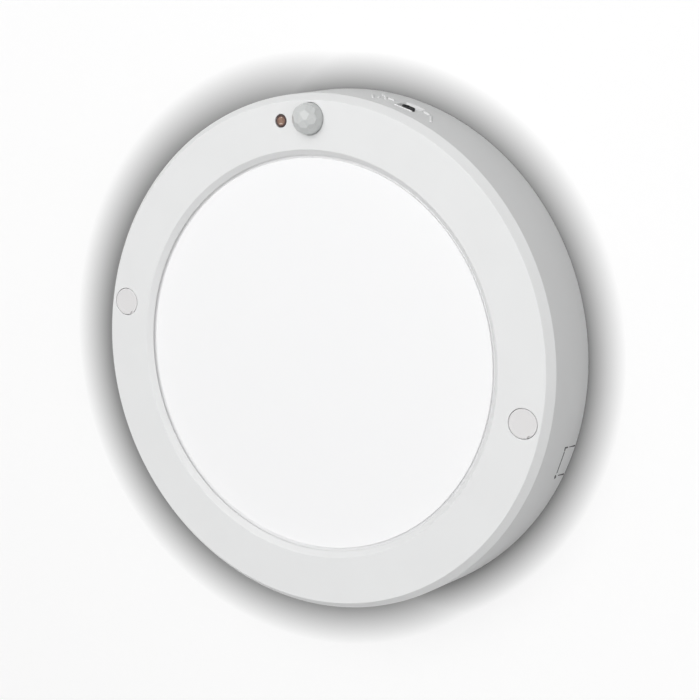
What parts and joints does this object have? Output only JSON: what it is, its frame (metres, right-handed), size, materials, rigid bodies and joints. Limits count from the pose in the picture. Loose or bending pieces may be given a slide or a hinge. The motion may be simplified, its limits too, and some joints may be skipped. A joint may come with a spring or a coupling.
{
  "type": "sensor ceiling light",
  "caption": "Round surface-mounted ceiling light with an opal lens, presence-sensor dome, photocell, push-in plugs over its mounting screws and a slide switch in its skirt.",
  "frame": {"origin": "centre of the mounting bracket's flat back, in the plane of the ceiling or wall", "axes": "-Y is where the light shines, away from the ceiling or wall; +Z points from the centre to the sensor dome; +X is to the right when the lens is looked at with the dome on top"},
  "size_m": [0.2252, 0.0393, 0.2252],
  "materials": {
    "white_plastic": "fine satin",
    "plug_plastic": "satin",
    "opal_plastic": "even opal diffuser",
    "clear_acrylic": "polished clear sheet",
    "reflector_film": "white film",
    "aluminium_sheet": "pressed sheet",
    "zinc_steel": "zinc plated",
    "brass": "bright",
    "board_green": "solder mask",
    "strip_white": "white flexible strip",
    "black_plastic": "satin",
    "grey_plastic": "satin",
    "dome_plastic": "translucent, faceted",
    "photocell_copper": "resin over a copper-brown cell",
    "fuse_glass": "clear tube",
    "varistor_blue": "dipped resin",
    "film_yellow": "film and tape",
    "ferrite": "matt ferrite",
    "live_brown": "wire insulation",
    "neutral_blue": "wire insulation",
    "earth_green": "wire insulation",
    "wire_red": "wire insulation",
    "wire_black": "wire insulation",
    "wire_grey": "cable sheath"
  },
  "bodies": {
    "fixture": {"front_housing": "white_plastic", "diffuser_lens": "opal_plastic", "light_guide": "clear_acrylic", "reflector_sheet": "reflector_film", "led_strip": "strip_white", "light_pan": "aluminium_sheet", "pan_screw_1": "zinc_steel", "pan_screw_2": "zinc_steel", "pan_screw_3": "zinc_steel", "pan_screw_4": "zinc_steel", "mounting_screw_right": "zinc_steel", "mounting_screw_left": "zinc_steel", "mounting_bracket": "zinc_steel", "fresnel_dome": "dome_plastic", "pir_sensor": "zinc_steel", "photocell": "photocell_copper", "sensor_board": "board_green", "sensor_screw_1": "zinc_steel", "sensor_screw_2": "zinc_steel", "switch_body": "black_plastic", "switch_board": "board_green", "switch_screw_1": "zinc_steel", "switch_screw_2": "zinc_steel", "driver_tray": "grey_plastic", "driver_board": "board_green", "driver_cover": "white_plastic", "driver_screw_1": "zinc_steel", "driver_screw_2": "zinc_steel", "fuse": "fuse_glass", "varistor": "varistor_blue", "filter_capacitor": "film_yellow", "filter_choke": "ferrite", "bridge_rectifier": "black_plastic", "bulk_capacitor": "black_plastic", "transformer_core": "ferrite", "transformer_coil": "film_yellow", "driver_chip": "black_plastic", "output_capacitor": "varistor_blue", "terminal_block": "white_plastic", "terminal_screw_1": "brass", "terminal_screw_2": "brass", "terminal_screw_3": "brass", "earth_screw": "brass", "neutral_wire": "neutral_blue", "live_wire": "live_brown", "earth_wire": "earth_green", "led_wire_plus": "wire_red", "led_wire_minus": "wire_black", "sensor_cable": "wire_grey", "switch_cable": "wire_grey"},
    "switch_knob": {"slider_knob": "black_plastic"},
    "right_plug": {"plug_right": "plug_plastic"},
    "left_plug": {"plug_left": "plug_plastic"}
  },
  "joints": [
    {"name": "knob_slide", "type": "slide", "parent": "fixture", "child": "switch_knob", "axis": [-0.9449, 0, 0.3272], "range_m": [0, 0.002]},
    {"name": "plug_right_pull", "type": "slide", "parent": "fixture", "child": "right_plug", "axis": [0, -1, 0], "range_m": [0, 0.012]},
    {"name": "plug_left_pull", "type": "slide", "parent": "fixture", "child": "left_plug", "axis": [0, -1, 0], "range_m": [0, 0.012]}
  ]
}
